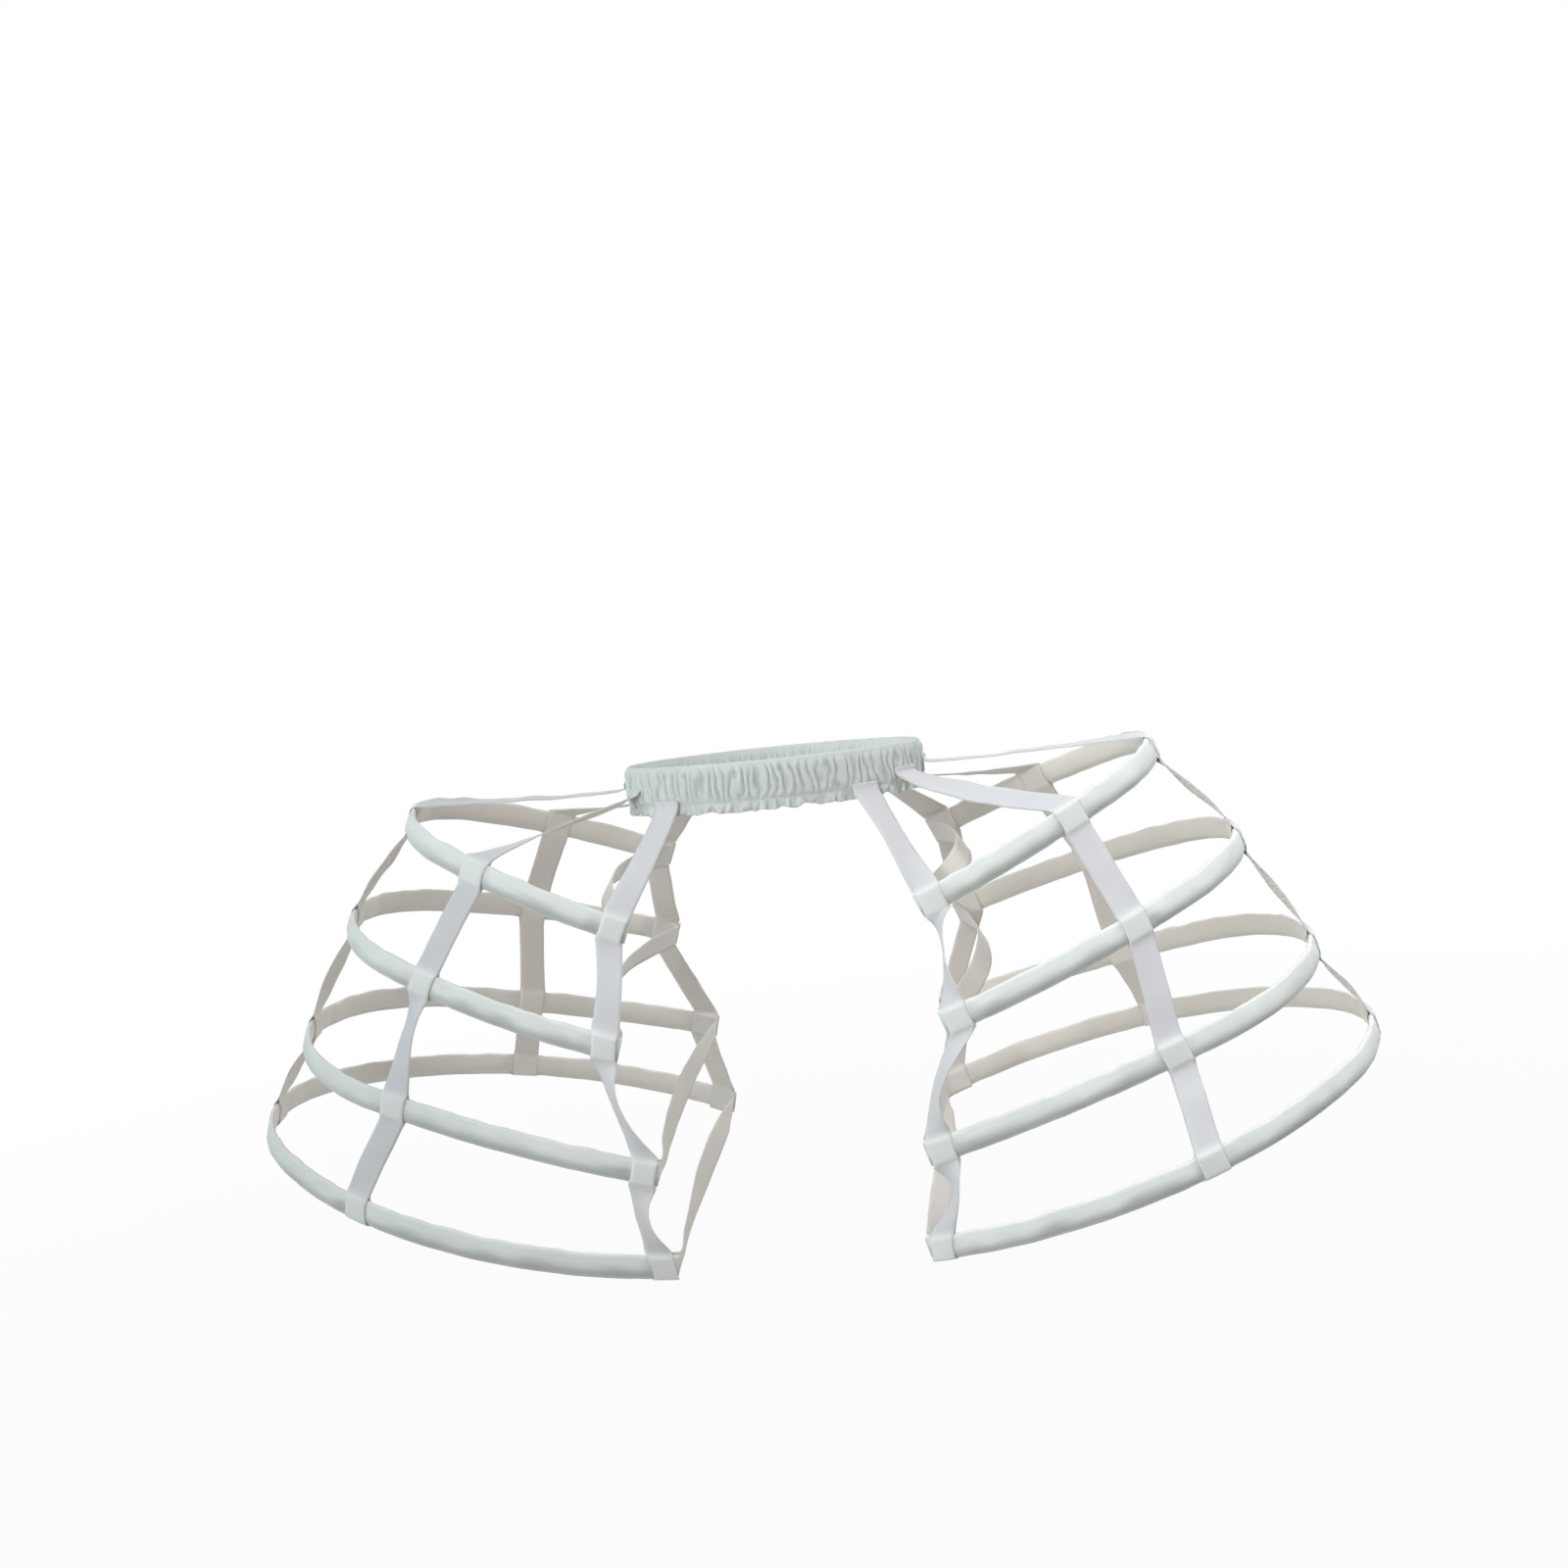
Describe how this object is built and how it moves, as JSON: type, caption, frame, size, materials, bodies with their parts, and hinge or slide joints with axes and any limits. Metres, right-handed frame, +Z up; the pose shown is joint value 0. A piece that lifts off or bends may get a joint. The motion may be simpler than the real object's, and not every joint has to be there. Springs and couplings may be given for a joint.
{
  "type": "crinoline cage",
  "caption": "White side-hoop crinoline cage: an elastic gathered waistband carries a cage of cased hoops on tapes at each hip to hold a skirt out sideways",
  "frame": {"origin": "centre of the waist opening, half way up the elastic channel", "axes": "+Z up the wearer's body, front toward -Y, +X to the wearer's left"},
  "size_m": [0.9128, 0.4096, 0.3749],
  "materials": {
    "band_cotton": "matte",
    "casing_cotton": "matte",
    "tape_cotton": "satin",
    "elastic": "matte",
    "hoop_steel": "satin"
  },
  "bodies": {
    "root": {"waistband": "band_cotton", "waist_elastic": "elastic", "left_hoop_casing_1": "casing_cotton", "left_hoop_casing_2": "casing_cotton", "left_hoop_casing_3": "casing_cotton", "left_hoop_casing_4": "casing_cotton", "right_hoop_casing_1": "casing_cotton", "right_hoop_casing_2": "casing_cotton", "right_hoop_casing_3": "casing_cotton", "right_hoop_casing_4": "casing_cotton", "left_hoop_steel_1": "hoop_steel", "left_hoop_steel_2": "hoop_steel", "left_hoop_steel_3": "hoop_steel", "left_hoop_steel_4": "hoop_steel", "right_hoop_steel_1": "hoop_steel", "right_hoop_steel_2": "hoop_steel", "right_hoop_steel_3": "hoop_steel", "right_hoop_steel_4": "hoop_steel", "left_front_tape": "tape_cotton", "left_front_mid_tape": "tape_cotton", "left_outer_tape": "tape_cotton", "left_back_mid_tape": "tape_cotton", "left_back_tape": "tape_cotton", "right_front_tape": "tape_cotton", "right_front_mid_tape": "tape_cotton", "right_outer_tape": "tape_cotton", "right_back_mid_tape": "tape_cotton", "right_back_tape": "tape_cotton", "left_tie_1": "tape_cotton", "left_tie_2": "tape_cotton", "left_tie_3": "tape_cotton", "left_tie_4": "tape_cotton", "right_tie_1": "tape_cotton", "right_tie_2": "tape_cotton", "right_tie_3": "tape_cotton", "right_tie_4": "tape_cotton"}
  },
  "joints": []
}
